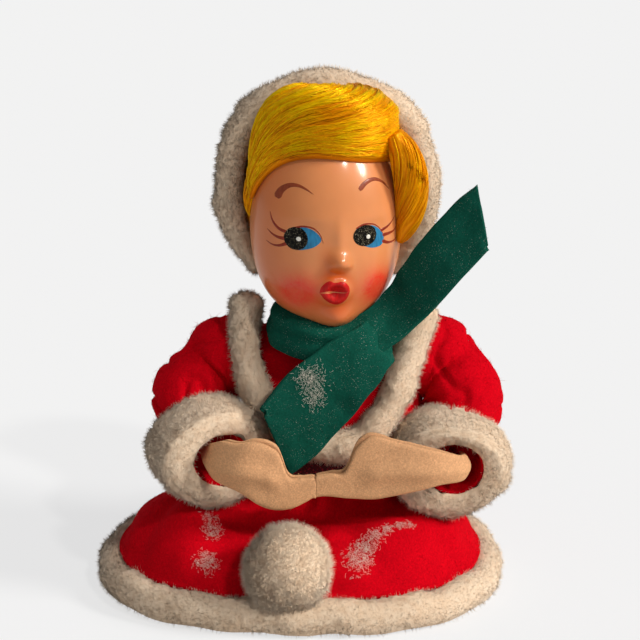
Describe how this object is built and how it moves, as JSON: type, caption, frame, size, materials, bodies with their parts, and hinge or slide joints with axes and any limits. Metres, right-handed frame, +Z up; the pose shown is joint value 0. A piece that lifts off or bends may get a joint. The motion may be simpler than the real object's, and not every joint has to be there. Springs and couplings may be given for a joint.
{
  "type": "felt doll",
  "caption": "Seated felt doll in a hooded winter outfit with fleece edging, scarf and pompom, a moulded head that turns and arms that swing on bent wire.",
  "frame": {"origin": "on the underside of the card base board, below the neck's axis line and between the shoulder joints", "axes": "+Z up, -Y the way the doll faces, +X towards the viewer's right, so the doll's own left arm is on the +X side and nodes named left are on the viewer's left, at -X"},
  "size_m": [0.083, 0.0828, 0.1012],
  "materials": {
    "board": "plain grey-brown card, matt",
    "stuffing": "cotton stuffing pressed to shape",
    "red_felt": "red felt with a short, soft nap",
    "white_fleece": "off-white fleece with small curls",
    "waist_tape": "dark red open-weave tape",
    "green_felt": "dark green felt, cut edges",
    "neck_wood": "turned wood, unpainted",
    "head_plastic": "flesh-coloured glossy plastic with painted features",
    "hair_floss": "golden floss with a silky sheen",
    "hand_felt": "flesh-coloured felt in two glued layers",
    "wire": "soft iron wire, dull"
  },
  "bodies": {
    "body": {"base_board": "board", "hips": "stuffing", "skirt": "red_felt", "skirt_trim": "white_fleece", "pompom": "white_fleece", "waistband": "waist_tape", "torso_core": "stuffing", "wire_across": "wire", "front_panel": "red_felt", "jacket": "red_felt", "jacket_trim": "white_fleece", "scarf": "green_felt", "neck_post": "neck_wood"},
    "head": {"head_shell": "head_plastic", "hair_cap": "hair_floss", "fringe": "hair_floss", "side_lock_left": "hair_floss", "side_lock_right": "hair_floss", "hood": "red_felt", "hood_trim": "white_fleece"},
    "arm_left": {"sleeve_left": "red_felt", "cuff_left": "white_fleece", "arm_wire_left": "wire", "hand_front_left": "hand_felt", "hand_back_left": "hand_felt"},
    "arm_right": {"sleeve_right": "red_felt", "cuff_right": "white_fleece", "arm_wire_right": "wire", "hand_front_right": "hand_felt", "hand_back_right": "hand_felt"}
  },
  "joints": [
    {"name": "head_turn", "type": "hinge", "parent": "body", "child": "head", "pos_m": [0, -0.001, 0.0546], "axis": [0, 0, 1], "range_deg": [-10, 25]},
    {"name": "shoulder_left", "type": "hinge", "parent": "body", "child": "arm_left", "pos_m": [-0.0186, 0, 0.0436], "axis": [0, 0, -1], "range_deg": [0, 30]},
    {"name": "shoulder_right", "type": "hinge", "parent": "body", "child": "arm_right", "pos_m": [0.0186, 0, 0.0436], "axis": [0, 0, 1], "range_deg": [0, 30]}
  ]
}
